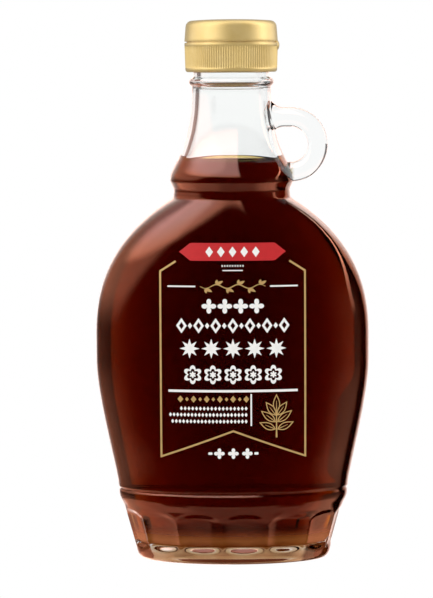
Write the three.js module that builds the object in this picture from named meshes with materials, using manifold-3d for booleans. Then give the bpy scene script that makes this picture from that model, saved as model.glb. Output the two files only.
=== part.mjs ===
// A flat oval glass flask of syrup, with a finger ring at its neck and a gold cap.
// Millimetres. +Z is up, -Y is the printed front and +X is the side of the finger ring.
// The origin is the middle of the base, on the surface that the flask stands on.

import * as THREE from 'three';
import { mergeVertices } from 'three/addons/utils/BufferGeometryUtils.js';
import Module from 'manifold-3d';

const wasm = await Module();
wasm.setup();

// The outside of the glass. Heights are above the surface, half sizes are from the axis.
const BODY = { halfWidth: 45.6, halfDepth: 23.3, from: 66.9, to: 74.9 };
const LEDGE = { halfWidth: 38.5, halfDepth: 20.6, height: 24.6, crease: 0.5, bead: 0.25 };
const FLUTES = {
  count: 14,
  depth: 1.1,
  fade: 2.6,
  low: { halfWidth: 32.7, halfDepth: 18.2, height: 3.6 },
  high: { halfWidth: 36.6, halfDepth: 19.8, height: 17.6 },
};
const BEARING = { halfWidth: 30.2, halfDepth: 16.4, ringWidth: 3.4 };
const PUSH_UP = 1.5;
const SHOULDER = { radius: 19.6, height: 120.9 };
const GROOVE = { radius: 19.4, height: 123.6, width: 1.2 };
const LIP = { radius: 20.5, height: 126.9, undercut: 1.2 };
const NECK = { radius: 13.05, height: 157.6 };
const BEAD = { radius: 14.05, height: 159.4, halfHeight: 1.7 };
const FINISH = { radius: 12.6, height: 170.6, rounding: 0.9 };

// The hollow inside the glass.
const WALL = 2.8;
const FLUTE_WALL = 3.3;
const NECK_WALL = 2.2;
const FLOOR = { height: 5.4, cornerWidth: 6, cornerTop: 12 };
const MOUTH_RADIUS = 10.4;

// The syrup fills the hollow up to this height, a small gap away from the glass.
const FILL_HEIGHT = 133.2;
const GAP = 0.35;

// The finger ring. Its section is wider where it grows out of the neck and the lip.
const RING = {
  x: 19.6,
  height: 138.5,
  radius: 9.1,
  halfThickness: 3.3,
  halfDepth: 3,
  squareness: 2.4,
  upperRoot: 12.2,
  lowerRoot: 18.4,
  flare: 3.4,
  flareLength: 5,
};

// The cap: a smooth lid over a ribbed skirt, a seam between them and a hinge at one side.
const CAP = {
  bottom: 162.6,
  top: 180,
  radius: 15.5,
  footRadius: 15.25,
  lidRadius: 15.1,
  lidRounding: 1.9,
  crown: 0.4,
  bottomChamfer: 0.9,
  boreRadius: 12.95,
};
const SEAM = { height: 172.5, width: 0.4, depth: 0.7 };
const RIBS = { count: 60, depth: 0.28, from: 164.4, to: 171.3, runOut: 0.4 };
const HINGE = { reach: 0.55, halfWidth: 3.4, halfHeight: 2.3, height: 171.4 };

// How many faces go round each shape.
const GLASS_SIDES = FLUTES.count * 4;
const HOLLOW_SIDES = 36;
const RING_SIDES = 14;
const RING_STEPS = 20;
const CAP_SIDES = RIBS.count * 2;

// A station is one level cut of an upright shape: an ellipse, held as a vector of its
// half width, its half depth and its height.
const oval = (halfWidth, halfDepth, height) => new THREE.Vector3(halfWidth, halfDepth, height);
const circle = (radius, height) => oval(radius, radius, height);
const grow = (station, by, rise = 0) => oval(station.x + by, station.y + by, station.z + rise);
const between = (low, high, share) => low.clone().lerp(high, share);

// Stations along a cubic curve, leaving out its first point.
function bend(from, fromPull, toPull, to, steps) {
  return new THREE.CubicBezierCurve3(from, fromPull, toPull, to).getPoints(steps).slice(1);
}

// The flared sides of the flask, from the ledge out to the widest part and in to the shoulder.
function bellyStations(ledge, halfWidth, halfDepth, shoulder, steps) {
  return [
    ledge,
    ...bend(ledge, grow(ledge, 0.1, 4.4), oval(halfWidth, halfDepth, BODY.from - 12.8),
      oval(halfWidth, halfDepth, BODY.from), steps),
    ...bend(oval(halfWidth, halfDepth, BODY.to), oval(halfWidth, halfDepth, BODY.to + 12.6),
      oval(halfWidth - 2.3, halfDepth - 0.6, SHOULDER.height - 14.8), shoulder, steps + 3),
  ];
}

// The bell of the neck, from the lip up.
function bellStations(lip, neck, steps) {
  return [lip, ...bend(lip, grow(lip, 0, 5.7), grow(neck, 0.2, -22.4), neck, steps)];
}

// The outside of the glass, from the middle of its underside to its mouth.
function glassStations() {
  const bearing = oval(BEARING.halfWidth, BEARING.halfDepth, 0);
  const heel = oval(FLUTES.low.halfWidth, FLUTES.low.halfDepth, FLUTES.low.height);
  const fluteTop = oval(FLUTES.high.halfWidth, FLUTES.high.halfDepth, FLUTES.high.height);
  const ledge = oval(LEDGE.halfWidth, LEDGE.halfDepth, LEDGE.height);
  const ledgeBead = grow(ledge, -LEDGE.bead, -1.9);
  const lip = circle(LIP.radius, LIP.height);
  const bead = circle(BEAD.radius, BEAD.height);
  return [
    grow(bearing, -3 * BEARING.ringWidth, PUSH_UP),
    grow(bearing, -1.8 * BEARING.ringWidth, 0.6 * PUSH_UP),
    grow(bearing, -BEARING.ringWidth),
    bearing,
    ...bend(bearing, grow(bearing, 1.4), grow(heel, -0.3, -2.2), heel, 3),
    ...[0.2, 0.45, 0.75, 0.9].map((share) => between(heel, fluteTop, share)),
    fluteTop,
    ...bend(fluteTop, grow(fluteTop, 0.7, 2), grow(ledgeBead, -0.3, -2.4), ledgeBead, 3),
    grow(ledge, -LEDGE.crease, -0.9),
    ...bellyStations(ledge, BODY.halfWidth, BODY.halfDepth,
      circle(SHOULDER.radius, SHOULDER.height), 6),
    circle(GROOVE.radius, GROOVE.height - GROOVE.width / 2),
    circle(GROOVE.radius, GROOVE.height + GROOVE.width / 2),
    grow(lip, -0.4, -LIP.undercut),
    ...bellStations(lip, circle(NECK.radius, NECK.height), 7),
    grow(bead, -0.5, -0.6 * BEAD.halfHeight),
    bead,
    grow(bead, -0.4, 0.6 * BEAD.halfHeight),
    circle(FINISH.radius, BEAD.height + BEAD.halfHeight),
    circle(FINISH.radius, FINISH.height - FINISH.rounding),
    circle(FINISH.radius - FINISH.rounding, FINISH.height),
  ];
}

// The hollow inside the glass, from its floor to just past the mouth.
function hollowStations() {
  const heel = oval(FLUTES.low.halfWidth, FLUTES.low.halfDepth, FLUTES.low.height);
  const fluteTop = oval(FLUTES.high.halfWidth, FLUTES.high.halfDepth, FLUTES.high.height);
  const wallFoot = grow(between(heel, fluteTop, 0.55), -FLUTE_WALL).setZ(FLOOR.cornerTop);
  const floorEdge = grow(wallFoot, -FLOOR.cornerWidth).setZ(FLOOR.height);
  const ledge = oval(LEDGE.halfWidth - WALL, LEDGE.halfDepth - WALL, LEDGE.height);
  const throat = circle(SHOULDER.radius - WALL, SHOULDER.height);
  return [
    floorEdge,
    ...bend(floorEdge, grow(floorEdge, 0.7 * FLOOR.cornerWidth), grow(wallFoot, -1, -4), wallFoot, 3),
    ...bend(wallFoot, grow(wallFoot, 1.3, 5), grow(ledge, -0.3, -4), ledge, 2).slice(0, 1),
    ...bellyStations(ledge, BODY.halfWidth - WALL, BODY.halfDepth - WALL, throat, 5),
    circle(throat.x, GROOVE.height),
    ...bellStations(circle(LIP.radius - WALL, LIP.height), circle(NECK.radius - NECK_WALL, NECK.height), 6),
    circle(MOUTH_RADIUS, BEAD.height + BEAD.halfHeight),
    circle(MOUTH_RADIUS, FINISH.height + 1),
  ];
}

// The hollow's stations up to the surface of the syrup, all a gap away from the glass.
function syrupStations() {
  const hollow = hollowStations();
  const above = hollow.findIndex((station) => station.z > FILL_HEIGHT);
  const [under, over] = hollow.slice(above - 1, above + 1);
  const surface = between(under, over, (FILL_HEIGHT - under.z) / (over.z - under.z));
  return [...hollow.slice(0, above), surface].map((station) => (
    grow(station, -GAP).setZ(Math.max(station.z, FLOOR.height + GAP))
  ));
}

// How far a flute is cut in. Its side edges are a quarter flute off the middle of the front.
function fluteCut(height, turn) {
  const place = (turn * FLUTES.count + 0.25) % 1;
  const fromEnd = Math.min(height - FLUTES.low.height, FLUTES.high.height - height);
  const across = 4 * place * (1 - place);
  return FLUTES.depth * across * THREE.MathUtils.smoothstep(fromEnd, 0, FLUTES.fade);
}

// How far the skirt of the cap goes in between two ribs.
function ribCut(height, turn) {
  const groove = Math.round(turn * CAP_SIDES) % 2 === 1;
  return groove && height >= RIBS.from && height <= RIBS.to ? RIBS.depth : 0;
}

// A closed solid through rings of points. Each ring runs counterclockwise as seen by
// someone who looks back along the way that the rings go.
function skin(rings) {
  const sides = rings[0].length;
  const lastRing = (rings.length - 1) * sides;
  const faces = [];
  for (let corner = 0; corner < lastRing; corner += 1) {
    const next = (corner + 1) % sides === 0 ? corner + 1 - sides : corner + 1;
    faces.push(corner, next, next + sides, corner, next + sides, corner + sides);
  }
  for (let side = 1; side < sides - 1; side += 1) {
    faces.push(0, side + 1, side);
    faces.push(lastRing, lastRing + side, lastRing + side + 1);
  }
  const geometry = new THREE.BufferGeometry().setFromPoints(rings.flat());
  return geometry.setIndex(faces);
}

// An upright solid through stations. cut takes a height and a share of a turn from the
// middle of the front, and gives how far that point goes in towards the axis.
function upright(stations, sides, cut = () => 0) {
  return skin(stations.map(({ x: halfWidth, y: halfDepth, z: height }) => (
    Array.from({ length: sides }, (_, side) => {
      const turn = side / sides;
      const angle = turn * 2 * Math.PI;
      const point = new THREE.Vector3(halfWidth * Math.sin(angle), -halfDepth * Math.cos(angle), 0);
      return point.setLength(point.length() - cut(height, turn)).setZ(height);
    })
  )));
}

// The finger ring: out from the neck, round, and back in at the lip.
function fingerRing() {
  const path = new THREE.Path();
  path.moveTo(RING.upperRoot, RING.height + RING.radius);
  path.lineTo(RING.x, RING.height + RING.radius);
  path.absarc(RING.x, RING.height, RING.radius, Math.PI / 2, -Math.PI / 2, true);
  path.lineTo(RING.lowerRoot, RING.height - RING.radius);
  const length = path.getLength();
  const roundPower = (value) => Math.sign(value) * Math.abs(value) ** (2 / RING.squareness);

  return skin(Array.from({ length: RING_STEPS + 1 }, (_, step) => {
    const share = step / RING_STEPS;
    const middle = path.getPointAt(share);
    const along = path.getTangentAt(share);
    const rooted = Math.max(0, 1 - (share * length) / RING.flareLength);
    const halfThickness = RING.halfThickness + RING.flare * rooted ** 2;
    return Array.from({ length: RING_SIDES }, (__, side) => {
      const angle = (side / RING_SIDES) * 2 * Math.PI;
      const out = halfThickness * roundPower(Math.cos(angle));
      const across = RING.halfDepth * roundPower(Math.sin(angle));
      return new THREE.Vector3(middle.x + along.y * out, across, middle.y - along.x * out);
    });
  }));
}

// A geometry as a solid that can be joined and cut.
function toSolid(geometry) {
  const bare = geometry.clone();
  bare.deleteAttribute('normal');
  bare.deleteAttribute('uv');
  const merged = mergeVertices(bare);
  return new wasm.Manifold(new wasm.Mesh({
    numProp: 3,
    vertProperties: new Float32Array(merged.attributes.position.array),
    triVerts: new Uint32Array(merged.index.array),
  }));
}

// A joined or cut solid as a geometry again.
function toGeometry(solid) {
  const mesh = solid.getMesh();
  const geometry = new THREE.BufferGeometry();
  geometry.setAttribute('position', new THREE.BufferAttribute(mesh.vertProperties, 3));
  return geometry.setIndex(new THREE.BufferAttribute(mesh.triVerts, 1));
}

// The glass: the flask and its finger ring, hollow and open at the mouth.
function glassGeometry() {
  const flask = toSolid(upright(glassStations(), GLASS_SIDES, fluteCut));
  const hollow = toSolid(upright(hollowStations(), HOLLOW_SIDES));
  return toGeometry(flask.add(toSolid(fingerRing())).subtract(hollow));
}

function syrupGeometry() {
  return upright(syrupStations(), HOLLOW_SIDES);
}

// The outline of the cap, from its lower edge to the middle of its top.
function capStations() {
  const { bottom, radius, footRadius, bottomChamfer: chamfer } = CAP;
  const seamLow = SEAM.height - SEAM.width / 2;
  const seamHigh = SEAM.height + SEAM.width / 2;
  const lidEdge = circle(CAP.lidRadius, CAP.top - CAP.crown - CAP.lidRounding);
  const lidTop = circle(CAP.lidRadius - CAP.lidRounding, CAP.top - CAP.crown);
  return [
    circle(footRadius - chamfer, bottom),
    circle(footRadius, bottom + chamfer),
    circle(footRadius, RIBS.from - RIBS.runOut),
    circle(footRadius, RIBS.from),
    circle(radius, RIBS.to),
    circle(radius, RIBS.to + RIBS.runOut),
    circle(radius, seamLow),
    circle(radius - SEAM.depth, seamLow),
    circle(radius - SEAM.depth, seamHigh),
    circle(radius, seamHigh),
    ...bend(lidEdge, grow(lidEdge, -0.1, 1.1), grow(lidTop, 0.9, -0.2), lidTop, 2),
    circle(CAP.lidRadius * 0.55, CAP.top - 0.2),
    circle(CAP.lidRadius * 0.2, CAP.top),
  ];
}

// The cap: hollow over the finish of the glass, with the bulge of its hinge.
function capGeometry() {
  const outside = toSolid(upright(capStations(), CAP_SIDES, ribCut));
  const hinge = new THREE.SphereGeometry(1, 16, 10);
  hinge.scale(2, HINGE.halfWidth, HINGE.halfHeight);
  hinge.translate(CAP.radius + HINGE.reach - 2, 0, HINGE.height);
  const boreTop = FINISH.height + GAP;
  const boreHeight = boreTop - CAP.bottom + 1;
  const bore = new THREE.CylinderGeometry(CAP.boreRadius, CAP.boreRadius, boreHeight, 48);
  bore.rotateX(Math.PI / 2);
  bore.translate(0, 0, boreTop - boreHeight / 2);
  return toGeometry(outside.add(toSolid(hinge)).subtract(toSolid(bore)));
}

function piece(name, geometry, material) {
  const mesh = new THREE.Mesh(geometry, material);
  mesh.name = name;
  return mesh;
}

const flask = new THREE.Group();
flask.add(
  piece('bottle', glassGeometry(), new THREE.MeshStandardMaterial({
    color: 0xe9efec, roughness: 0.05, metalness: 0, transparent: true, opacity: 0.35,
  })),
  piece('syrup', syrupGeometry(), new THREE.MeshStandardMaterial({
    color: 0x4a1206, roughness: 0.1, metalness: 0,
  })),
  piece('cap', capGeometry(), new THREE.MeshStandardMaterial({
    color: 0xdcc07e, roughness: 0.38, metalness: 0.85,
  })),
);

export default flask;
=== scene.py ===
"""A flat oval glass flask of maple syrup with a finger ring, a printed front and a gold cap.

Metres, +Z up. The printed front faces -Y and the finger ring is on the +X side, as in the frame.
"""

import math

import bpy
import numpy as np
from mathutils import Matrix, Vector


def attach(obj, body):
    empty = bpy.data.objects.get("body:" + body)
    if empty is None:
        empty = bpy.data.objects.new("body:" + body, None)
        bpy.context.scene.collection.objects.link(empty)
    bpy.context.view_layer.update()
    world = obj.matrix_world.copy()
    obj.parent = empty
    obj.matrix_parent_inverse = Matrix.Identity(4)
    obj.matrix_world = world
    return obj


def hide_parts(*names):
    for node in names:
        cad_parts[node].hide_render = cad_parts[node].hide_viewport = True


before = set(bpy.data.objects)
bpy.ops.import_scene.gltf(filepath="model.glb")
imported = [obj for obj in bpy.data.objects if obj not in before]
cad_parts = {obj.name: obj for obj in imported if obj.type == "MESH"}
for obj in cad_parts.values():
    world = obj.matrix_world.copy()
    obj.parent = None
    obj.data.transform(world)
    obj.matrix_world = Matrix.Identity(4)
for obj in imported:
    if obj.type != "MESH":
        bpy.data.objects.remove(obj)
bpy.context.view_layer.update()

MM = 0.001
BODY_NAME = "root"

# How far the print stands out from the glass, and how far it goes in, in millimetres.
INK_PROUD = 0.06
INK_SUNK = 0.02

# The outside of the glass, as half sizes and heights in millimetres, and how finely it is made.
BODY = {"half_width": 45.6, "half_depth": 23.3 - INK_PROUD, "low": 66.9, "high": 74.9}
LEDGE = {"half_width": 38.5, "half_depth": 20.6, "height": 24.6, "crease": 0.55, "bead": 0.2}
FLUTES = 14
FLUTE_DEPTH = 1.15
FLUTE_FADE = 2.4
FLUTE_ARCH = 1.6
HEEL = (32.7, 18.2, 3.6)
FLUTE_TOP = (36.6, 19.8, 17.6)
BEARING = (30.2, 16.4, 0.0)
BEARING_WIDTH = 3.4
PUSH_UP = 1.5
SHOULDER = (19.6, 120.9)
BELLY_STEPS = 26
BELL_STEPS = 26
SIDES_PER_FLUTE = 16
GROOVE = {"radius": 19.2, "height": 123.6, "half_width": 0.6}
LIP = (20.5, 126.9)
NECK = (13.05, 157.6)
BEAD = {"radius": 14.05, "height": 159.4, "half_height": 1.7}
FINISH = {"radius": 12.6, "height": 170.6, "rounding": 0.9}

# The hollow inside the glass, and how the syrup stands in it.
WALL = 2.8
FLUTE_WALL = 3.3
NECK_WALL = 2.2
FLOOR = {"height": 5.4, "corner_width": 6.0, "corner_top": 12.0, "corner_steps": 14}
MOUTH_RADIUS = 10.4
HOLLOW_SIDES = 160
FILL_HEIGHT = 132.5
MENISCUS_RISE = 1.4
MENISCUS_WIDTH = 0.9
MENISCUS_STEPS = 11
SURFACE_MIDDLE = 4.0
INTO_WALL = 0.22
GLASS_IOR = 1.52
SYRUP_IOR = 1.46
# What the syrup takes of red, green and blue light in a metre.
SYRUP_TAKES = (102.0, 222.0, 560.0)

# Painted light from the syrup low in the thick base of the glass: how high it reaches, and its colours
# from the foot up.
BASE_GLOW = 7.5
PAINTED_BASE_LIGHT = [
    (0.0, (0.15, 0.05, 0.02, 1.0)),
    (0.22, (0.31, 0.15, 0.06, 1.0)),
    (0.45, (0.43, 0.28, 0.15, 1.0)),
    (0.72, (0.52, 0.37, 0.25, 1.0)),
    (1.0, (0.985, 0.995, 0.99, 1.0)),
]
# Towards both ends the painted base light turns paler, between these distances from the middle.
PALE_ENDS = (13.0, 23.0)
# Painted glow in the syrup, as a diffuse layer: stronger towards both ends, and going from dark to amber
# on the way down to its foot.
GLOW_ENDS = (28.0, 43.0)
AMBER_GLOW_FOOT = (12.5, 7.0)
SYRUP_GLOW_RED = (0.6, 0.03, 0.006, 1.0)
SYRUP_GLOW_AMBER = (0.76, 0.3, 0.075, 1.0)
FILM_GOLD = (0.86, 0.72, 0.36, 1.0)
# Painted golden glints at the ring's lower root.
PAINTED_GLINT_GOLD = (0.36, 0.25, 0.06, 1.0)
CLEAR = (1.0, 1.0, 1.0, 1.0)
# Where painted golden glints show at the ring's lower root, across and up, with soft edges.
PAINTED_GLINTS = {"across": (15.0, 16.6, 19.6, 21.0), "up": (125.0, 127.0, 134.0, 135.5)}

# The finger ring.
RING = {"x": 19.6, "height": 138.5, "radius": 9.1, "half_thickness": 3.3, "half_depth": 3.0}
RING_SQUARENESS = 2.4
RING_ROOTS = (12.2, 18.4)
RING_FLARE = 3.4
RING_FLARE_LENGTH = 5.0
RING_SIDES = 36
RING_STEPS = 72

# The print on the front, as places across and up in millimetres.
FRAME_LINE = 0.62
LINE_STEP = 1.2
PETAL_POINTS = 12
LEAF_POINTS = 10
FRAME = {"half_width": 23.7, "top": 101.1, "top_half": 18.6, "corner": 97.8, "bottom": 36.5, "notch": 45.3}
PLAQUE = {"middle": 104.2, "half_width": 17.4, "half_height": 2.9, "point": 3.6}
# Rows of ornaments: how high, how many, and how far out the outer ones stand.
ROWS = {
    "plaque": (104.2, 5, 7.6),
    "beads": (99.65, 9, 3.4),
    "rosettes": (86.5, 4, 7.8),
    "lozenges": (80.1, 13, 16.8),
    "stars": (72.6, 5, 14.2),
    "flowers": (64.0, 5, 13.2),
    "crosses": (37.8, 3, 4.6),
}
# The white rules: how high, both ends, and how thick.
RULES = (
    (92.95, -21.3, -12.2, 0.5),
    (92.95, 12.2, 21.3, 0.5),
    (98.15, -3.3, 3.3, 0.36),
    (58.6, -21.2, 21.2, 0.8),
    (37.8, -8.2, -6.9, 0.8),
    (37.8, 6.9, 8.2, 0.8),
)
UPRIGHT_RULE = {"across": 5.9, "low": 47.0, "high": 57.6, "thickness": 0.5}
# The rows of small lozenges: how high, and where they start and end.
GOLD_ROW = (55.9, -17.3, 4.3)
FINE_ROWS = ((52.8, -17.0), (50.7, -20.6), (48.5, -19.9))
FINE_ROWS_END = 4.2
FINE_ROWS_PITCH = 1.15
VINE = {"height": 92.95, "reach": 10.7, "wave": 7.1, "swing": 0.62}
SPRIG = {"across": 14.2, "up": 44.6, "height": 12.4, "foot": 1.6}
SPRIG_LEAF = {"half_width": 1.05, "line": 0.32}

# The studio's colours, as linear light. The glass mirrors one glow low down, one high up and one
# at its edges.
PAPER = (1.0, 1.0, 1.0, 1.0)
LOW_GLOW = (1.0, 0.35, 0.2, 1.0)
HIGH_GLOW = (1.0, 0.5, 0.43, 1.0)
EDGE_GLOW = (1.0, 0.72, 0.63, 1.0)
# Painted amber shadow on the floor under the flask.
PAINTED_SHADOW_AMBER = (0.42, 0.22, 0.09, 1.0)

# The camera, in metres, millimetres of lens and degrees.
CAMERA = {"place": (-0.0049, -0.9, 0.1633), "lens": 162.5, "tilt": 4.85, "roll": 0.3}

# The lights on the cap and the print: where, how wide and tall, and how many watts.
SOFTBOX_AIM = (0, 0, 0.14)
SOFTBOXES = {
    "left_softbox": ((-0.5, -0.32, 0.4), (0.4, 0.5), 0.3),
    "right_softbox": ((0.58, -0.04, 0.4), (0.2, 0.5), 0.36),
}

# The cap.
CAP = {"bottom": 162.6, "top": 180.0, "radius": 15.5, "foot": 15.25, "lid": 15.1}
CAP_BORE = 12.95
CAP_BORE_GAP = 0.35
CAP_BORE_SIDES = 120
SIDES_PER_RIB = 6
SEAM = {"height": 172.5, "width": 0.4, "depth": 0.7}
# The rounded edges of the seam, each as how far in and how far from the seam.
SEAM_ROUNDING_LOW = ((0, 0.25), (0.05, 0.06), (0.22, 0))
SEAM_ROUNDING_HIGH = ((0.2, 0), (0.04, 0.06), (0, 0.22))
RIBS = {"count": 120, "depth": 0.18, "low": 163.7, "high": 171.5, "run_out": 0.5}
HINGE = {"reach": 0.55, "half_length": 2.0, "half_width": 3.4, "half_height": 2.3, "height": 171.4}


class Value:
    """A shader socket that can be used in sums, such as 1 - mask * 0.5."""

    def __init__(self, finish, socket):
        self.finish = finish
        self.socket = socket

    def sum(self, operation, left, right):
        return self.finish.node("ShaderNodeMath", {"operation": operation}, {0: left, 1: right})

    def __add__(self, other):
        return self.sum("ADD", self, other)

    def __radd__(self, other):
        return self.sum("ADD", other, self)

    def __sub__(self, other):
        return self.sum("SUBTRACT", self, other)

    def __rsub__(self, other):
        return self.sum("SUBTRACT", other, self)

    def __mul__(self, other):
        return self.sum("MULTIPLY", self, other)

    def __truediv__(self, other):
        return self.sum("DIVIDE", self, other)

    def __pow__(self, other):
        return self.sum("POWER", self, other)

    def __abs__(self):
        return self.finish.node("ShaderNodeMath", {"operation": "ABSOLUTE"}, {0: self})

    def rise(self, start, end):
        """0 below start and 1 above end, with a smooth way between. It falls if start is the higher."""
        settings = {"interpolation_type": "SMOOTHSTEP"}
        sockets = {"Value": self, "From Min": start, "From Max": end}
        return self.finish.node("ShaderNodeMapRange", settings, sockets)

    def between(self, start, full, fade, end):
        """0 outside start and end, and 1 from full to fade."""
        return self.rise(start, full) * self.rise(end, fade)


class Finish:
    """A material, or the world, that is made node by node."""

    def __init__(self, owner):
        owner.use_nodes = True
        self.owner = owner
        self.tree = owner.node_tree
        self.tree.nodes.clear()

    def node(self, kind, settings=None, sockets=None, output=0):
        """Adds a node, makes its settings, fills its sockets and gives one of its outputs."""
        made = self.tree.nodes.new(kind)
        for name, value in (settings or {}).items():
            if name == "stops":
                self.set_stops(made.color_ramp, value)
            else:
                setattr(made, name, value)
        for name, value in (sockets or {}).items():
            if isinstance(value, Value):
                self.tree.links.new(value.socket, made.inputs[name])
            else:
                made.inputs[name].default_value = value
        return Value(self, made.outputs[output])

    @staticmethod
    def set_stops(ramp, stops):
        while len(ramp.elements) < len(stops):
            ramp.elements.new(1.0)
        for element, (place, colour) in zip(ramp.elements, stops):
            element.position = place
            element.color = colour

    def output(self, kind, sockets):
        made = self.tree.nodes.new(kind)
        for name, value in sockets.items():
            self.tree.links.new(value.socket, made.inputs[name])


def tint(red, green, blue):
    """A colour as a picture shows it, from 0 to 255, as linear light."""
    def linear(part):
        part = part / 255
        return part / 12.92 if part <= 0.04045 else ((part + 0.055) / 1.055) ** 2.4
    return (linear(red), linear(green), linear(blue), 1.0)


def flint_glass():
    """Clear bottle glass against air, with the faint ripple of a mould.

    Low in its thick base it has painted light from the syrup, paler towards both ends, and painted
    golden glints where the ring joins the bell.
    """
    finish = Finish(bpy.data.materials.new("flint_glass"))
    place = finish.node("ShaderNodeTexCoord", output="Object")
    height = finish.node("ShaderNodeSeparateXYZ", None, {"Vector": place}, output=2)
    swirl = finish.node("ShaderNodeTexNoise", None, {"Vector": place, "Scale": 160.0, "Detail": 2.0})
    across = finish.node("ShaderNodeSeparateXYZ", None, {"Vector": place}, output=0)
    # Painted light from the syrup in the thick base: amber low down, paler towards both ends.
    paler = abs(across).rise(PALE_ENDS[0] * MM, PALE_ENDS[1] * MM) * 0.34 - 0.07
    level = height / (BASE_GLOW * MM) + (swirl - 0.5) * 0.5 + paler
    colour = finish.node("ShaderNodeValToRGB", {"stops": PAINTED_BASE_LIGHT}, {"Fac": level})
    ripple = finish.node("ShaderNodeTexNoise", None, {"Vector": place, "Scale": 90.0, "Detail": 1.0})
    # Painted golden glints at the ring's lower root.
    glint = finish.node("ShaderNodeTexNoise", None, {"Vector": place, "Scale": 620.0, "Detail": 1.0})
    near_root = across.between(*(edge * MM for edge in PAINTED_GLINTS["across"]))
    near_root = near_root * height.between(*(edge * MM for edge in PAINTED_GLINTS["up"]))
    colour = blend(finish, near_root * glint.rise(0.44, 0.54) * 0.85, colour, PAINTED_GLINT_GOLD)
    bump = finish.node("ShaderNodeBump", None, {"Strength": 0.12, "Distance": 0.0004, "Height": ripple})
    surface = finish.node("ShaderNodeBsdfPrincipled", None, {
        "Base Color": colour,
        "Roughness": 0.0,
        "IOR": GLASS_IOR,
        "Transmission Weight": 1.0,
        "Normal": bump,
    })
    finish.output("ShaderNodeOutputMaterial", {"Surface": surface})
    return finish.owner


def wetted_glass():
    """The inside of the glass where syrup stands against it: it bends light and mirrors none."""
    finish = Finish(bpy.data.materials.new("wetted_glass"))
    surface = finish.node("ShaderNodeBsdfRefraction", None, {
        "Color": CLEAR, "Roughness": 0.0, "IOR": GLASS_IOR})
    finish.output("ShaderNodeOutputMaterial", {"Surface": surface})
    return finish.owner


def maple_syrup():
    """Clear dark liquid that lets red through, with painted glow as a faint diffuse layer, stronger
    towards both ends and amber at the foot.

    It mirrors light at its open surface, and none where it stands against the glass. The film that
    climbs the wall is golden.
    """
    finish = Finish(bpy.data.materials.new("maple_syrup"))
    place = finish.node("ShaderNodeTexCoord", output="Object")
    across = finish.node("ShaderNodeSeparateXYZ", None, {"Vector": place}, output=0)
    height = finish.node("ShaderNodeSeparateXYZ", None, {"Vector": place}, output=2)
    open_top = finish.node("ShaderNodeMath", {"operation": "GREATER_THAN"},
                           {0: height, 1: (FILL_HEIGHT - 0.1) * MM})
    on_the_wall = height.rise((FILL_HEIGHT + 0.1) * MM, (FILL_HEIGHT + 0.5) * MM)
    against_air = finish.node("ShaderNodeBsdfPrincipled", None, {
        "Base Color": blend(finish, on_the_wall, CLEAR, FILM_GOLD),
        "Roughness": 0.0,
        "IOR": SYRUP_IOR,
        "Transmission Weight": 1.0,
    })
    against_glass = finish.node("ShaderNodeBsdfRefraction", None, {
        "Color": CLEAR, "Roughness": 0.0, "IOR": SYRUP_IOR})
    # Painted glow: a diffuse layer over the syrup against the glass, faint all over, stronger towards both
    # ends and amber and stronger at the foot.
    foot = height.rise(AMBER_GLOW_FOOT[0] * MM, AMBER_GLOW_FOOT[1] * MM)
    cloud = finish.node("ShaderNodeBsdfDiffuse", None, {
        "Color": blend(finish, foot, SYRUP_GLOW_RED, SYRUP_GLOW_AMBER)})
    toward_ends = abs(across).rise(GLOW_ENDS[0] * MM, GLOW_ENDS[1] * MM)
    glow_share = 0.012 + toward_ends * 0.055 + foot * 0.8
    side = finish.node("ShaderNodeMixShader", None, {0: glow_share, 1: against_glass, 2: cloud})
    surface = finish.node("ShaderNodeMixShader", None, {0: open_top, 1: side, 2: against_air})
    # What is taken in a metre is the density times one less the colour.
    inside = finish.node("ShaderNodeVolumeAbsorption", None, {
        "Color": tuple(1 - taken / max(SYRUP_TAKES) for taken in SYRUP_TAKES) + (1.0,),
        "Density": max(SYRUP_TAKES),
    })
    finish.output("ShaderNodeOutputMaterial", {"Surface": surface, "Volume": inside})
    return finish.owner


def gold_plastic():
    """Metallised gold plastic, satin, a little uneven in its shine."""
    finish = Finish(bpy.data.materials.new("gold_plastic"))
    place = finish.node("ShaderNodeTexCoord", output="Object")
    cloud = finish.node("ShaderNodeTexNoise", None, {"Vector": place, "Scale": 220.0, "Detail": 3.0})
    grain = finish.node("ShaderNodeTexNoise", None, {"Vector": place, "Scale": 5200.0, "Detail": 1.0})
    tone = finish.node("ShaderNodeValToRGB", {"stops": [
        (0.3, (0.86, 0.59, 0.16, 1.0)),
        (0.7, (0.91, 0.65, 0.22, 1.0)),
    ]}, {"Fac": cloud})
    bump = finish.node("ShaderNodeBump", None, {"Strength": 0.08, "Distance": 0.00005, "Height": grain})
    surface = finish.node("ShaderNodeBsdfPrincipled", None, {
        "Base Color": tone,
        "Metallic": 0.8,
        "Roughness": 0.36 + cloud * 0.08,
        "Coat Weight": 1.0,
        "Coat IOR": 1.9,
        "Coat Roughness": 0.35,
        "Normal": bump,
    })
    finish.output("ShaderNodeOutputMaterial", {"Surface": surface})
    return finish.owner


def printed_ink(name, colour, spread, roughness, metallic=0.0):
    """Fired ink on glass: one colour, with the slight unevenness of a screen print."""
    finish = Finish(bpy.data.materials.new(name))
    place = finish.node("ShaderNodeTexCoord", output="Object")
    cloud = finish.node("ShaderNodeTexNoise", None, {"Vector": place, "Scale": 700.0, "Detail": 2.0})
    darker = tuple(part * spread for part in colour[:3]) + (1.0,)
    tone = finish.node("ShaderNodeValToRGB", {"stops": [(0.35, darker), (0.65, colour)]}, {"Fac": cloud})
    surface = finish.node("ShaderNodeBsdfPrincipled", None, {
        "Base Color": tone,
        "Metallic": metallic,
        "Roughness": roughness + cloud * 0.1,
    })
    finish.output("ShaderNodeOutputMaterial", {"Surface": surface})
    return finish.owner


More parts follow.
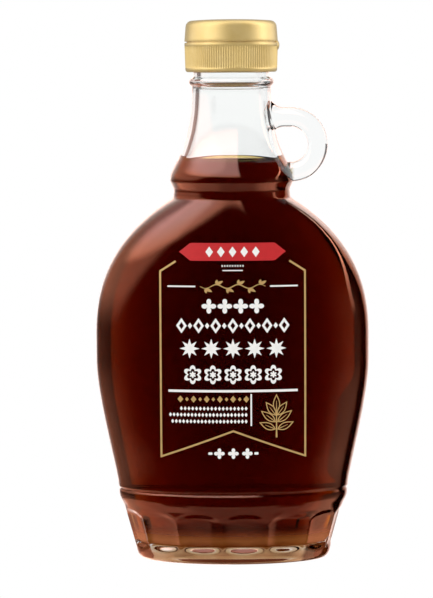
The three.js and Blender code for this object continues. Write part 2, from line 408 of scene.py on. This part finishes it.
def bezier(points, steps):
    """Stations along a cubic curve, without its first point. The two middle points only pull it."""
    start, pull, push, end = (np.array(point, float) for point in points)
    t = np.linspace(0, 1, steps + 1)[1:, None]
    return list((1 - t) ** 3 * start + 3 * (1 - t) ** 2 * t * pull
                + 3 * (1 - t) * t ** 2 * push + t ** 3 * end)


def oval(half_width, half_depth, height):
    """One level cut of an upright shape."""
    return np.array((half_width, half_depth, height), float)


def circle(radius, height):
    return oval(radius, radius, height)


def grow(station, by, rise=0.0):
    return station + (by, by, rise)


def straight(start, end, steps):
    """Evenly spaced stations from just after one to another."""
    return [start + (end - start) * (step + 1) / steps for step in range(steps)]


def fillet(before, corner, after, share, steps):
    """Stations that round a corner between two stations."""
    start = corner + (before - corner) * share
    end = corner + (after - corner) * share
    return [start] + bezier((start, corner, corner, end), steps)


def belly(ledge, half_width, half_depth, shoulder, steps):
    """From the ledge out to the widest part, and in to the shoulder."""
    low = oval(half_width, half_depth, BODY["low"])
    high = oval(half_width, half_depth, BODY["high"])
    return (
        [ledge]
        + bezier((ledge, grow(ledge, 0.1, 4.4), grow(low, 0, -12.8), low), steps)
        + straight(low, high, steps // 4)
        + bezier((high, grow(high, 0, 12.6),
                  oval(half_width - 2.3, half_depth, SHOULDER[1] - 14.8), shoulder), steps + 12)
    )


def bell(lip, neck, steps):
    """From the lip up into the neck."""
    return [lip] + bezier((lip, grow(lip, 0, 5.7), grow(neck, 0.2, -22.4), neck), steps)


def glass_outline():
    """The outside of the glass, from the middle of its underside to its mouth."""
    bearing, heel, flute_top = np.array(BEARING), np.array(HEEL), np.array(FLUTE_TOP)
    ledge = oval(LEDGE["half_width"], LEDGE["half_depth"], LEDGE["height"])
    ledge_bead = grow(ledge, -LEDGE["bead"], -2.1)
    crease = grow(ledge, -LEDGE["crease"], -0.9)
    shoulder = circle(*SHOULDER)
    groove_low = circle(GROOVE["radius"], GROOVE["height"] - GROOVE["half_width"])
    groove_high = circle(GROOVE["radius"], GROOVE["height"] + GROOVE["half_width"])
    lip = circle(*LIP)
    under_lip = grow(lip, -0.4, -1.2)
    neck = circle(*NECK)
    bead = circle(BEAD["radius"], BEAD["height"])
    bead_top = circle(FINISH["radius"], BEAD["height"] + BEAD["half_height"])
    rim = circle(FINISH["radius"], FINISH["height"] - FINISH["rounding"])
    push_up = grow(bearing, -3 * BEARING_WIDTH, PUSH_UP)
    inner_ring = grow(bearing, -BEARING_WIDTH)
    belly_run = belly(ledge, BODY["half_width"], BODY["half_depth"], shoulder, BELLY_STEPS)
    bell_run = bell(lip, neck, BELL_STEPS)
    return np.array(
        [push_up]
        + bezier((push_up, grow(push_up, 3.6, -0.1), grow(inner_ring, -1.6, 0.3), inner_ring), 8)
        + [bearing]
        + bezier((bearing, grow(bearing, 1.4), grow(heel, -0.3, -2.2), heel), 8)
        + straight(heel, flute_top, 34)
        + bezier((flute_top, grow(flute_top, 0.7, 2), grow(ledge_bead, 0, -2.2), ledge_bead), 10)
        + bezier((ledge_bead, grow(ledge_bead, 0, 0.7), grow(crease, 0, -0.3), crease), 5)
        + bezier((crease, grow(crease, 0, 0.3), grow(ledge, -0.02, -0.6), ledge), 5)
        + belly_run[1:-1]
        + fillet(belly_run[-2], shoulder, groove_low, 0.45, 6)
        + fillet(shoulder, (groove_low + groove_high) / 2, under_lip, 0.5, 6)
        + bezier((under_lip, grow(under_lip, 0.3, 0.5), grow(lip, 0, -0.5), lip), 5)
        + bell_run[1:]
        + bezier((neck, grow(neck, 0, 0.6), grow(bead, 0, -1.1), bead), 8)
        + bezier((bead, grow(bead, 0, 1.1), grow(bead_top, 0.1, -0.3), bead_top), 8)
        + [rim]
        + bezier((rim, grow(rim, 0, 0.5), grow(rim, -0.4, 0.9), grow(rim, -0.9, 0.9)), 5)
    )


def hollow_outline():
    """The hollow inside the glass, from its floor to its mouth."""
    heel, flute_top = np.array(HEEL), np.array(FLUTE_TOP)
    wall_foot = grow(heel + (flute_top - heel) * 0.55, -FLUTE_WALL)
    wall_foot[2] = FLOOR["corner_top"]
    floor_edge = grow(wall_foot, -FLOOR["corner_width"])
    floor_edge[2] = FLOOR["height"]
    ledge = oval(LEDGE["half_width"] - WALL, LEDGE["half_depth"] - WALL, LEDGE["height"])
    throat = circle(SHOULDER[0] - WALL, SHOULDER[1])
    lip = circle(LIP[0] - WALL, LIP[1])
    neck = circle(NECK[0] - NECK_WALL, NECK[1])
    mouth = circle(MOUTH_RADIUS, BEAD["height"] + BEAD["half_height"])
    return np.array(
        [floor_edge]
        + bezier((floor_edge, grow(floor_edge, 0.7 * FLOOR["corner_width"]),
                  grow(wall_foot, -1, -4), wall_foot), FLOOR["corner_steps"])
        + bezier((wall_foot, grow(wall_foot, 1.3, 5), grow(ledge, -0.3, -4), ledge), 10)
        + belly(ledge, BODY["half_width"] - WALL, BODY["half_depth"] - WALL, throat, BELLY_STEPS)[1:]
        + bezier((throat, grow(throat, -0.5, 1.4), grow(lip, 0, -3), lip), 10)
        + bell(lip, neck, BELL_STEPS)[1:]
        + bezier((neck, grow(neck, 0, 1.2), grow(mouth, 0, -1.2), mouth), 5)
        + [circle(MOUTH_RADIUS, FINISH["height"] + 1)]
    )


def smooth_step(value):
    value = np.clip(value, 0, 1)
    return value * value * (3 - 2 * value)


def flute_cut(height, turn):
    """How far a flute is cut in. Its side edges are a quarter flute off the middle of the front."""
    place = (turn * FLUTES + 0.25) % 1
    aside = np.abs(2 * place - 1)
    top = FLUTE_TOP[2] - FLUTE_ARCH * aside ** 2
    bottom = HEEL[2] + 0.4 * FLUTE_ARCH * aside ** 2
    reach = smooth_step((height - bottom) / FLUTE_FADE) * smooth_step((top - height) / FLUTE_FADE)
    return FLUTE_DEPTH * (1 - aside ** 2.6) * reach


def upright_points(stations, sides, cut=None):
    """Rings of points through stations, each counterclockwise from the middle of the front."""
    turn = np.arange(sides) / sides
    sine, cosine = np.sin(2 * np.pi * turn), np.cos(2 * np.pi * turn)
    rings = []
    for half_width, half_depth, height in stations:
        across, back = half_width * sine, -half_depth * cosine
        if cut is not None:
            reach = np.hypot(across, back)
            kept = 1 - cut(height, turn) / reach
            across, back = across * kept, back * kept
        rings.append(np.column_stack((across, back, np.full(sides, height))))
    return rings


def skin(rings):
    """Points and faces of a closed solid through rings of points."""
    sides = len(rings[0])
    faces = []
    for level in range(len(rings) - 1):
        low, high = level * sides, (level + 1) * sides
        for side in range(sides):
            follow = (side + 1) % sides
            faces.append((low + side, low + follow, high + follow, high + side))
    last = (len(rings) - 1) * sides
    faces.append(tuple(range(sides - 1, -1, -1)))
    faces.append(tuple(range(last, last + sides)))
    return np.concatenate(rings), faces


def make_piece(name, points, faces):
    """A mesh object from points in millimetres."""
    mesh = bpy.data.meshes.new(name)
    mesh.from_pydata((np.asarray(points) * MM).tolist(), [], faces)
    mesh.validate()
    piece = bpy.data.objects.new(name, mesh)
    bpy.context.scene.collection.objects.link(piece)
    return piece


def combine(piece, tool, operation):
    """Joins a tool to a piece, or cuts it away, and removes the tool."""
    change = piece.modifiers.new("combine", "BOOLEAN")
    change.operation = operation
    change.solver = "MANIFOLD"
    change.object = tool
    settled = piece.evaluated_get(bpy.context.evaluated_depsgraph_get())
    mesh = bpy.data.meshes.new_from_object(settled)
    piece.modifiers.clear()
    piece.data = mesh
    bpy.data.objects.remove(tool)


def dress(piece, finishes, sharp_angle=35):
    """Gives a piece its finishes, its shading and its body."""
    piece.data.materials.clear()
    for finish in finishes:
        piece.data.materials.append(finish)
    piece.data.shade_smooth()
    piece.data.set_sharp_from_angle(angle=math.radians(sharp_angle))
    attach(piece, BODY_NAME)
    return piece


def finger_ring():
    """The ring as rings of points: out from the neck, round, and back in at the lip."""
    top, bottom = RING["height"] + RING["radius"], RING["height"] - RING["radius"]
    run_in = RING["x"] - RING_ROOTS[0]
    run_out = RING["x"] - RING_ROOTS[1]
    arc = math.pi * RING["radius"]
    length = run_in + arc + run_out
    turn = np.arange(RING_SIDES) / RING_SIDES * 2 * np.pi
    power = 2 / RING_SQUARENESS
    out = np.sign(np.cos(turn)) * np.abs(np.cos(turn)) ** power
    across = np.sign(np.sin(turn)) * np.abs(np.sin(turn)) ** power * RING["half_depth"]
    rings = []
    for along in np.linspace(0, length, RING_STEPS):
        if along < run_in:
            middle, way = (RING_ROOTS[0] + along, top), (1, 0)
        elif along < run_in + arc:
            angle = math.pi / 2 - (along - run_in) / RING["radius"]
            middle = (RING["x"] + RING["radius"] * math.cos(angle),
                      RING["height"] + RING["radius"] * math.sin(angle))
            way = (math.sin(angle), -math.cos(angle))
        else:
            middle, way = (RING["x"] - (along - run_in - arc), bottom), (-1, 0)
        rooted = max(0.0, 1 - along / RING_FLARE_LENGTH)
        thickness = RING["half_thickness"] + RING_FLARE * rooted ** 2
        rings.append(np.column_stack((
            middle[0] + way[1] * out * thickness, across, middle[1] - way[0] * out * thickness)))
    return rings


def wet_faces(flask):
    """Puts the faces of the hollow that syrup covers in the second finish."""
    hollow = hollow_outline()
    middles = np.array([face.center for face in flask.data.polygons]) / MM
    half_width, half_depth = (np.interp(middles[:, 2], hollow[:, 2], hollow[:, way]) for way in (0, 1))
    reach = np.hypot(middles[:, 0] / half_width, middles[:, 1] / half_depth)
    slack = 0.015
    wet = (reach < 1 + slack) & (middles[:, 2] > FLOOR["height"] - 0.1)
    wet &= middles[:, 2] < FILL_HEIGHT + MENISCUS_RISE
    flask.data.polygons.foreach_set("material_index", wet.astype(np.int32))


def glass_flask(finishes):
    """The bottle: the flask and its finger ring, hollow and open at the mouth."""
    outside = upright_points(glass_outline(), FLUTES * SIDES_PER_FLUTE, flute_cut)
    inside = upright_points(hollow_outline(), HOLLOW_SIDES)
    flask = make_piece("glass_flask", *skin(outside))
    combine(flask, make_piece("ring_tool", *skin(finger_ring())), "UNION")
    combine(flask, make_piece("hollow_tool", *skin(inside)), "DIFFERENCE")
    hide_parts("bottle")
    dress(flask, finishes)
    wet_faces(flask)
    return flask


def syrup_fill(finish):
    """The syrup, just into the glass all round, with a surface that climbs the wall."""
    hollow = hollow_outline()
    wall_top = FILL_HEIGHT + MENISCUS_RISE
    above = int(np.argmax(hollow[:, 2] > wall_top))
    under, over = hollow[above - 1], hollow[above]
    edge = under + (over - under) * (wall_top - under[2]) / (over[2] - under[2])
    walls = [grow(station, INTO_WALL) for station in [*hollow[:above], edge]]
    walls[0] = grow(walls[0], 0, -INTO_WALL)
    surface = []
    for inset in np.linspace(0, 1, MENISCUS_STEPS + 1)[1:]:
        fall = MENISCUS_RISE * (1 - (1 - inset) ** 3)
        surface.append(grow(edge, -inset * MENISCUS_WIDTH, -fall))
    surface.append(circle(SURFACE_MIDDLE, FILL_HEIGHT))
    stations = np.array(walls + surface)
    foot = stations[:FLOOR["corner_steps"], 2]
    foot[:] = np.maximum(foot - INTO_WALL, FLOOR["height"] - INTO_WALL)
    fill = make_piece("syrup_fill", *skin(upright_points(stations, HOLLOW_SIDES)))
    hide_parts("syrup")
    return dress(fill, [finish])


def rib_cut(height, turn):
    """How far the skirt of the cap goes in between two ribs."""
    ends = smooth_step((height - RIBS["low"]) / RIBS["run_out"])
    ends = ends * smooth_step((RIBS["high"] - height) / RIBS["run_out"])
    return RIBS["depth"] * ends * (0.5 + 0.5 * np.cos(2 * np.pi * RIBS["count"] * turn)) ** 0.8


def cap_outline():
    """The outside of the cap, from its lower edge to the middle of its top."""
    foot = circle(CAP["foot"], CAP["bottom"] + 0.9)
    bottom = circle(CAP["foot"] - 0.9, CAP["bottom"])
    rib_low, rib_high = circle(CAP["foot"], RIBS["low"]), circle(CAP["radius"], RIBS["high"])
    ribs_begin = grow(rib_low, 0.02, RIBS["run_out"])
    ribs_end = grow(rib_high, -0.02, -RIBS["run_out"])
    seam_low, seam_high = (SEAM["height"] + way * SEAM["width"] / 2 for way in (-1, 1))
    lid_foot = circle(CAP["radius"], seam_high + SEAM_ROUNDING_HIGH[-1][1])
    lid_edge = circle(CAP["lid"], CAP["top"] - 2.3)
    lid_top = circle(CAP["lid"] - 1.9, CAP["top"] - 0.4)
    return np.array(
        [bottom]
        + bezier((bottom, grow(bottom, 0.5), grow(foot, 0, -0.5), foot), 5)
        + straight(foot, rib_low, 2)
        + straight(rib_low, ribs_begin, 4)
        + straight(ribs_begin, ribs_end, 6)
        + straight(ribs_end, rib_high, 4)
        + [circle(CAP["radius"] - inset, seam_low - below) for inset, below in SEAM_ROUNDING_LOW]
        + [circle(CAP["radius"] - SEAM["depth"], height) for height in (seam_low, seam_high)]
        + [circle(CAP["radius"] - inset, seam_high + above) for inset, above in SEAM_ROUNDING_HIGH]
        + straight(lid_foot, lid_edge, 6)
        + bezier((lid_edge, grow(lid_edge, -0.1, 1.1), grow(lid_top, 0.9, -0.1), lid_top), 10)
        + bezier((lid_top, grow(lid_top, -4, 0.3), circle(6, CAP["top"]), circle(2, CAP["top"])), 8)
    )


def gold_cap(finish):
    """The cap: a smooth lid over a ribbed skirt, hollow over the finish of the glass."""
    outside = upright_points(cap_outline(), RIBS["count"] * SIDES_PER_RIB, rib_cut)
    cap = make_piece("gold_cap", *skin(outside))
    turn = np.linspace(0, np.pi, 17)[1:-1]
    bulge = [circle(math.sin(part), -math.cos(part)) for part in turn]
    points, faces = skin(upright_points(bulge, 32))
    points = points * (HINGE["half_length"], HINGE["half_width"], HINGE["half_height"])
    points = points + (CAP["radius"] + HINGE["reach"] - HINGE["half_length"], 0, HINGE["height"])
    combine(cap, make_piece("hinge_tool", points, faces), "UNION")
    bore_top = FINISH["height"] + CAP_BORE_GAP
    bore = [circle(CAP_BORE, CAP["bottom"] - 1), circle(CAP_BORE, bore_top)]
    inside = upright_points(np.array(bore), CAP_BORE_SIDES)
    combine(cap, make_piece("bore_tool", *skin(inside)), "DIFFERENCE")
    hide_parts("cap")
    return dress(cap, [finish], 40)


class Print:
    """Flat shapes of one ink, gathered as points across and up, and laid on the front of the glass."""

    def __init__(self):
        self.points = []
        self.faces = []

    def add(self, points, faces):
        start = len(self.points)
        self.points += [tuple(point) for point in points]
        self.faces += [tuple(start + corner for corner in face) for face in faces]

    def star(self, across, up, outline):
        """A shape that can be seen whole from its middle, from its outline round that."""
        count = len(outline)
        middle = np.array((across, up))
        faces = [(count, corner, (corner + 1) % count) for corner in range(count)]
        self.add([*(middle + outline), middle], faces)

    def band(self, across, up, outer, inner):
        """The space between two outlines with as many points."""
        count = len(outer)
        middle = np.array((across, up))
        faces = []
        for corner in range(count):
            follow = (corner + 1) % count
            faces.append((corner, follow, count + follow, count + corner))
        self.add([*(middle + outer), *(middle + inner)], faces)

    def line(self, path, widths, closed=False):
        """A drawn line with mitred corners."""
        path = np.array(path, float)
        widths = np.broadcast_to(widths, len(path))
        ahead = np.roll(path, -1, axis=0) - path
        behind = path - np.roll(path, 1, axis=0)
        if not closed:
            ahead[-1], behind[0] = behind[-1], ahead[0]
        ahead /= np.linalg.norm(ahead, axis=1)[:, None]
        behind /= np.linalg.norm(behind, axis=1)[:, None]
        way = ahead + behind
        way /= np.linalg.norm(way, axis=1)[:, None]
        side = np.column_stack((-way[:, 1], way[:, 0]))
        stretch = np.minimum(1 / np.maximum((way * ahead).sum(axis=1), 0.1), 2.2)
        off = side * (widths * stretch / 2)[:, None]
        count = len(path)
        faces = []
        for step in range(count if closed else count - 1):
            follow = (step + 1) % count
            faces.append((step, count + step, count + follow, follow))
        self.add([*(path + off), *(path - off)], faces)

    def lay(self, name, finish, slot, proud=INK_PROUD):
        """Makes the shapes into one thin closed piece on the glass."""
        flat = np.array(self.points)
        forward = front_reach(flat[:, 0], flat[:, 1])
        count = len(flat)
        front = np.column_stack((flat[:, 0], -forward - proud, flat[:, 1]))
        back = np.column_stack((flat[:, 0], -forward + INK_SUNK, flat[:, 1]))
        faces = list(self.faces) + [tuple(count + corner for corner in face[::-1]) for face in self.faces]
        edges = set()
        for face in self.faces:
            edges.update(zip(face, face[1:] + face[:1]))
        for start, end in sorted(edges):
            if (end, start) not in edges:
                faces.append((end, start, count + start, count + end))
        piece = make_piece(name, np.concatenate((front, back)), faces)
        return dress(piece, [finish], 50)


def front_reach(across, up):
    """How far forward of the middle the front of the glass is, at places on it."""
    ledge = oval(LEDGE["half_width"], LEDGE["half_depth"], LEDGE["height"])
    shoulder = circle(*SHOULDER)
    face = np.array(belly(ledge, BODY["half_width"], BODY["half_depth"], shoulder, BELLY_STEPS))
    half_width, half_depth = (np.interp(up, face[:, 2], face[:, way]) for way in (0, 1))
    return half_depth * np.sqrt(1 - (across / half_width) ** 2)


def finely(path):
    """A path with points added, so that it follows the curve of the glass."""
    path = np.array(path, float)
    fine = [path[0]]
    for start, end in zip(path[:-1], path[1:]):
        parts = max(1, math.ceil(np.linalg.norm(end - start) / LINE_STEP))
        fine += [start + (end - start) * part / parts for part in range(1, parts + 1)]
    return fine


def lozenge(half_width, half_height):
    return np.array([(half_width, 0), (0, half_height), (-half_width, 0), (0, -half_height)])


def petals(count, radius, waist, sharpness=1.0):
    """A flower's outline: so many petals, pulled in to the waist between them."""
    points = count * PETAL_POINTS
    turn = np.arange(points) / points * 2 * np.pi
    reach = radius * (waist + (1 - waist) * np.abs(np.cos(turn * count / 2)) ** sharpness)
    return np.column_stack((-reach * np.sin(turn), reach * np.cos(turn)))


def wheel(count, tip, dip):
    """A star's outline with straight sides."""
    angle = np.arange(2 * count) / (2 * count) * 2 * np.pi
    reach = np.where(np.arange(2 * count) % 2 == 0, tip, dip)
    return np.column_stack((-reach * np.sin(angle), reach * np.cos(angle)))


def row(name):
    """The places, across and up, of the ornaments in a row."""
    height, count, reach = ROWS[name]
    return [(across, height) for across in np.linspace(-reach, reach, count)]


def gold_lines():
    """The frame, the vine, the row of small lozenges and the sprig, in gold."""
    ink = Print()
    side, bottom, notch = FRAME["half_width"], FRAME["bottom"], FRAME["notch"]
    ink.line(finely([
        (-FRAME["top_half"], FRAME["top"]), (-side, FRAME["corner"]), (-side, bottom), (0, notch),
        (side, bottom), (side, FRAME["corner"]), (FRAME["top_half"], FRAME["top"]),
    ][::-1]), FRAME_LINE)
    vine(ink)
    height, left, right = GOLD_ROW
    for number, across in enumerate(np.linspace(left, right, 11)):
        size = 1.0 if number % 2 == 0 else 0.62
        ink.star(across, height, lozenge(0.95 * size, 1.15 * size))
    sprig(ink)
    return ink


def polar(angle, reach):
    """A place across and up, from an angle from straight up in degrees."""
    return (reach * math.sin(math.radians(angle)), reach * math.cos(math.radians(angle)))


def almond(length, half_width, turn):
    """A pointed leaf's outline from its foot, turned so many degrees from straight up to the right."""
    up = np.linspace(0, 1, LEAF_POINTS)
    aside = half_width * np.sin(np.pi * up ** 0.85)
    left = np.column_stack((-aside, up * length))[::-1]
    right = np.column_stack((aside, up * length))[1:-1]
    outline = np.concatenate((left, right))
    sine, cosine = math.sin(math.radians(turn)), math.cos(math.radians(turn))
    return outline @ np.array([(cosine, -sine), (sine, cosine)])


def filled_leaf(ink, root, length, half_width, turn):
    """A pointed leaf, filled from the middle of its length."""
    middle = np.array(polar(turn, length / 2))
    ink.star(*(np.array(root) + middle), almond(length, half_width, turn) - middle)


def vine(ink):
    """A waving stem with two small leaves at each turn."""
    height = VINE["height"]
    across = np.linspace(-VINE["reach"], VINE["reach"], 90)
    up = VINE["swing"] * np.sin(2 * np.pi * across / VINE["wave"])
    widths = 0.16 + 0.2 * (1 - (across / VINE["reach"]) ** 2)
    ink.line(np.column_stack((across, height + up)), widths)
    for turn in range(-3, 3):
        place = (turn + 0.5) * VINE["wave"] / 2
        way = 1 if turn % 2 == 0 else -1
        root = (place, height + way * VINE["swing"])
        for length, angle in ((2.5, 62), (1.7, 8)):
            filled_leaf(ink, root, length, 0.5, angle if way > 0 else 180 - angle)


def sprig(ink):
    """An upright stem with pairs of plain leaves in outline, each with its vein."""
    root = np.array((SPRIG["across"], SPRIG["up"]))
    tall = SPRIG["height"]
    stem = ((0, 0.6), (0.2, 0.46), (0.45, 0.38), (0.7, 0.3), (0.86, 0.24))
    path = [root + (0, tall * share - SPRIG["foot"]) for share, thickness in stem]
    ink.line(path, [thickness for share, thickness in stem])
    leaves = [(0.52, 5.6, 0)]
    for share, length, angle in ((0.08, 5.4, 66), (0.27, 5.7, 52), (0.44, 5.2, 36)):
        leaves += [(share, length, angle), (share, length, -angle)]
    for share, length, angle in leaves:
        foot = root + (0, tall * share)
        outline = foot + polar(angle, 0.5) + almond(length, SPRIG_LEAF["half_width"], angle)
        ink.line(outline, SPRIG_LEAF["line"], closed=True)
        vein = [foot + polar(angle, 0.9 + (length - 1.2) * part) for part in (0, 0.4, 0.75)]
        ink.line(vein, (0.3, 0.22, 0.12))


def white_shapes():
    """The rules and the rows of ornaments, in white."""
    ink = Print()
    for height, start, end, thickness in RULES:
        ink.line(finely([(start, height), (end, height)]), thickness)
    across, low, high = (UPRIGHT_RULE[side] for side in ("across", "low", "high"))
    ink.line(finely([(across, high), (across, low)]), UPRIGHT_RULE["thickness"])

    for place in row("plaque"):
        ink.star(*place, lozenge(1.25, 1.75))
    for place in row("beads"):
        ink.star(*place, lozenge(0.28, 0.42))
    for place in row("rosettes"):
        ink.star(*place, petals(4, 2.4, 0.26, 0.9))
    for number, place in enumerate(row("lozenges")):
        if number % 2:
            ink.star(*place, lozenge(0.75, 1.0))
        else:
            ink.band(*place, lozenge(1.75, 2.5), lozenge(0.8, 1.2))
    for place in row("stars"):
        ink.star(*place, wheel(8, 3.25, 1.5))
    for place in row("flowers"):
        ink.band(*place, petals(6, 3.1, 0.62), petals(6, 2.0, 0.62))
        ink.star(*place, petals(6, 1.1, 0.5))
    for height, left in FINE_ROWS:
        count = round((FINE_ROWS_END - left) / FINE_ROWS_PITCH)
        for across in np.linspace(left, FINE_ROWS_END, count):
            ink.star(across, height, lozenge(0.5, 0.72))
    for place in row("crosses"):
        ink.star(*place, petals(4, 1.75, 0.3, 0.8))
    return ink


def red_plaque():
    """The plaque over the frame, a bar with pointed ends, in red."""
    ink = Print()
    reach = PLAQUE["half_width"]
    across = np.linspace(-reach, reach, 41)
    half = PLAQUE["half_height"] * np.clip((reach - np.abs(across)) / PLAQUE["point"], 0.03, 1)
    rows = [np.column_stack((across, PLAQUE["middle"] + way * half)) for way in (-1, 0, 1)]
    count = len(across)
    faces = []
    for low in (0, count):
        for step in range(count - 1):
            faces.append((low + step, low + step + 1, low + count + step + 1, low + count + step))
    ink.add(np.concatenate(rows), faces)
    return ink


def photo_camera():
    """The camera at the photograph's height, distance and tilt."""
    data = bpy.data.cameras.new("camera")
    data.sensor_width = 36.0
    data.lens = CAMERA["lens"]
    data.clip_start = 0.05
    camera = bpy.data.objects.new("camera", data)
    camera.location = CAMERA["place"]
    camera.rotation_euler = (math.radians(90 - CAMERA["tilt"]), math.radians(CAMERA["roll"]), 0)
    bpy.context.scene.collection.objects.link(camera)
    bpy.context.scene.camera = camera


def soft_light(name, place, size, power):
    """A rectangular white light that faces the upper part of the bottle."""
    data = bpy.data.lights.new(name, "AREA")
    data.shape = "RECTANGLE"
    data.size, data.size_y = size
    data.energy = power
    light = bpy.data.objects.new(name, data)
    light.location = place
    light.rotation_euler = (Vector(SOFTBOX_AIM) - Vector(place)).to_track_quat("-Z", "Y").to_euler()
    bpy.context.scene.collection.objects.link(light)
    return light


def light_only(light, pieces):
    """Lets a light fall on these pieces alone."""
    lit = bpy.data.collections.new(light.name + "_falls_on")
    for piece in pieces:
        lit.objects.link(piece)
    light.light_linking.receiver_collection = lit


class Rays:
    """Which way light reaches the thing that is lit or seen, as switches of 0 and 1."""

    def __init__(self, finish):
        reflected = finish.node("ShaderNodeLightPath", output="Is Reflection Ray")
        sharp = finish.node("ShaderNodeLightPath", output="Is Singular Ray")
        matt = finish.node("ShaderNodeLightPath", output="Is Diffuse Ray")
        self.through_glass = finish.node("ShaderNodeLightPath", output="Is Transmission Ray")
        self.mirrored = reflected * sharp
        self.satin = reflected * (1 - sharp) * (1 - matt)
        self.matt = reflected * matt

    def strength(self, mirrored, satin, matt):
        """1 where it is seen straight or through glass, and these strengths otherwise."""
        seen = 1 - self.mirrored - self.satin - self.matt
        return seen + self.mirrored * mirrored + self.satin * satin + self.matt * matt


def blend(finish, share, first, second):
    """A colour that goes from the first to the second."""
    return finish.node("ShaderNodeMix", {"data_type": "RGBA"}, {0: share, 6: first, 7: second}, output=2)


def pale_floor():
    """A white floor with a painted amber shadow under the flask, seen only through the glass, and left out
    of sharp mirrors.
    """
    reach = 3000
    corners = [(-reach, -reach, 0), (reach, -reach, 0), (reach, reach, 0), (-reach, reach, 0)]
    floor = make_piece("floor", corners, [(0, 1, 2, 3)])
    floor.location.z = -0.05 * MM
    finish = Finish(bpy.data.materials.new("floor_paper"))
    rays = Rays(finish)
    place = finish.node("ShaderNodeTexCoord", output="Object")
    across = finish.node("ShaderNodeSeparateXYZ", None, {"Vector": place}, output=0)
    back = finish.node("ShaderNodeSeparateXYZ", None, {"Vector": place}, output=1)
    # How far out from the middle, counted in half sizes of the flask's foot.
    out = ((across / (BEARING[0] * MM)) ** 2 + (back / (BEARING[1] * MM)) ** 2) ** 0.5
    # Painted amber shadow under the flask, seen only through the glass.
    syrup_shadow = blend(finish, out.rise(2.5, 12), PAINTED_SHADOW_AMBER, PAPER)
    light = finish.node("ShaderNodeEmission", None, {
        "Color": blend(finish, rays.through_glass, PAPER, syrup_shadow),
        "Strength": rays.strength(0, 0.35, 1.0)})
    clear = finish.node("ShaderNodeBsdfTransparent")
    surface = finish.node("ShaderNodeMixShader", None, {0: rays.mirrored, 1: light, 2: clear})
    finish.output("ShaderNodeOutputMaterial", {"Surface": surface})
    floor.data.materials.append(finish.owner)


def upper_windows(side, lift):
    """What the glass mirrors from above the horizon: windows to the left and right, and behind."""
    left_lean = side - (lift - 30) * 1.1
    left_window = left_lean.rise(-34, -52) * lift.rise(-5, 11) * (1.35 + side.rise(-162, -90) * 1.3)
    high_window = side.between(-125, -85, 12, 20) * lift.between(20, 27, 62, 75) * 6

    # The strip on the right bends away from the side as it goes up.
    above = (lift - 6) * lift.rise(5, 8)
    right_lean = side - above * above * 0.075
    right_strip = right_lean.between(87, 91, 94, 99) * lift.between(-1, 5, 29, 34)
    right_strip = right_strip * (3 + lift.rise(4, 22) * 7)

    # The light behind draws the bright rims of the glass.
    right_rim = (side + lift * 0.45 - lift.rise(18, 30) * 33).rise(129, 136)
    left_rim = side.rise(-148, -166)
    rims = left_rim * 1.2 + right_rim * (1.7 + lift.rise(4, 24) * 1.4)
    ceiling = lift.rise(66, 76) * 0.7
    return left_window + high_window + right_strip + rims + ceiling


def lower_lights(side, lift):
    """What the glass mirrors from below the horizon: a soft light at both sides, and one under."""
    low_sides = side.rise(-55, -112) + side.between(50, 85, 101, 114)
    low_light = low_sides * lift.rise(14, 2) * (0.32 + lift.rise(-3, -20) * 0.8)
    gaps = abs(side).between(25, 32, 47, 54) * 0.9
    under = lift.between(-66, -54, -25, -19) * side.rise(114, 101) * 2.2
    under = under * (1 - gaps * lift.rise(-34, -28))
    under = under * (0.5 + (side.rise(-20, -40) + side.rise(45, 75)) * 0.5)
    return low_light + under


def studio_world():
    """White where it is seen. In sharp mirrors it is a dim studio with soft warm windows."""
    world = bpy.data.worlds.new("studio")
    bpy.context.scene.world = world
    finish = Finish(world)
    rays = Rays(finish)
    place = finish.node("ShaderNodeTexCoord", output="Generated")
    across, back, up = (
        finish.node("ShaderNodeSeparateXYZ", None, {"Vector": place}, output=way) for way in range(3))
    # The side is 0 towards the front and counts degrees to the right. The lift is above the horizon.
    degrees = 180 / math.pi
    side = finish.node("ShaderNodeMath", {"operation": "ARCTAN2"}, {0: across, 1: back * -1}) * degrees
    lift = finish.node("ShaderNodeMath", {"operation": "ARCSINE"}, {0: up}) * degrees

    mirrored = 0.01 + upper_windows(side, lift) + lower_lights(side, lift)
    satin = 0.34 + (side.between(-140, -105, -40, -8) + side.between(48, 75, 120, 150)) * 0.9
    satin = satin + lift.rise(30, 60) * 0.3
    # Through glass, dark flags to the left behind and high up give it dark lines.
    flags = side.between(-152, -146, -121, -114) + lift.between(36, 42, 60, 68)
    glow = blend(finish, lift.rise(22, 42), LOW_GLOW, HIGH_GLOW)
    glow = blend(finish, abs(side).rise(130, 156), glow, EDGE_GLOW)
    light = finish.node("ShaderNodeBackground", None, {
        "Color": blend(finish, rays.mirrored, PAPER, glow),
        "Strength": rays.strength(mirrored, satin, 1.0) - rays.through_glass * flags * 0.85})
    finish.output("ShaderNodeOutputWorld", {"Surface": light})


photo_camera()
studio_world()
pale_floor()

flask = glass_flask([flint_glass(), wetted_glass()])
fill = syrup_fill(maple_syrup())
cap = gold_cap(gold_plastic())
gold_ink = printed_ink("gold_ink", tint(205, 168, 105), 0.85, 0.4, 0.3)
white_ink = printed_ink("white_ink", tint(240, 238, 234), 0.93, 0.4)
red_ink = printed_ink("red_ink", tint(196, 10, 18), 0.94, 0.35)
gold_print = gold_lines().lay("front_print_gold", gold_ink, "print_gold")
white_print = white_shapes().lay("front_print_white", white_ink, "print_white")
red_print = red_plaque().lay("front_print_red", red_ink, "print_red", INK_PROUD / 2)

for name, (place, size, power) in SOFTBOXES.items():
    light_only(soft_light(name, place, size, power), [cap, gold_print, white_print, red_print])

bpy.context.scene.view_settings.view_transform = "Standard"
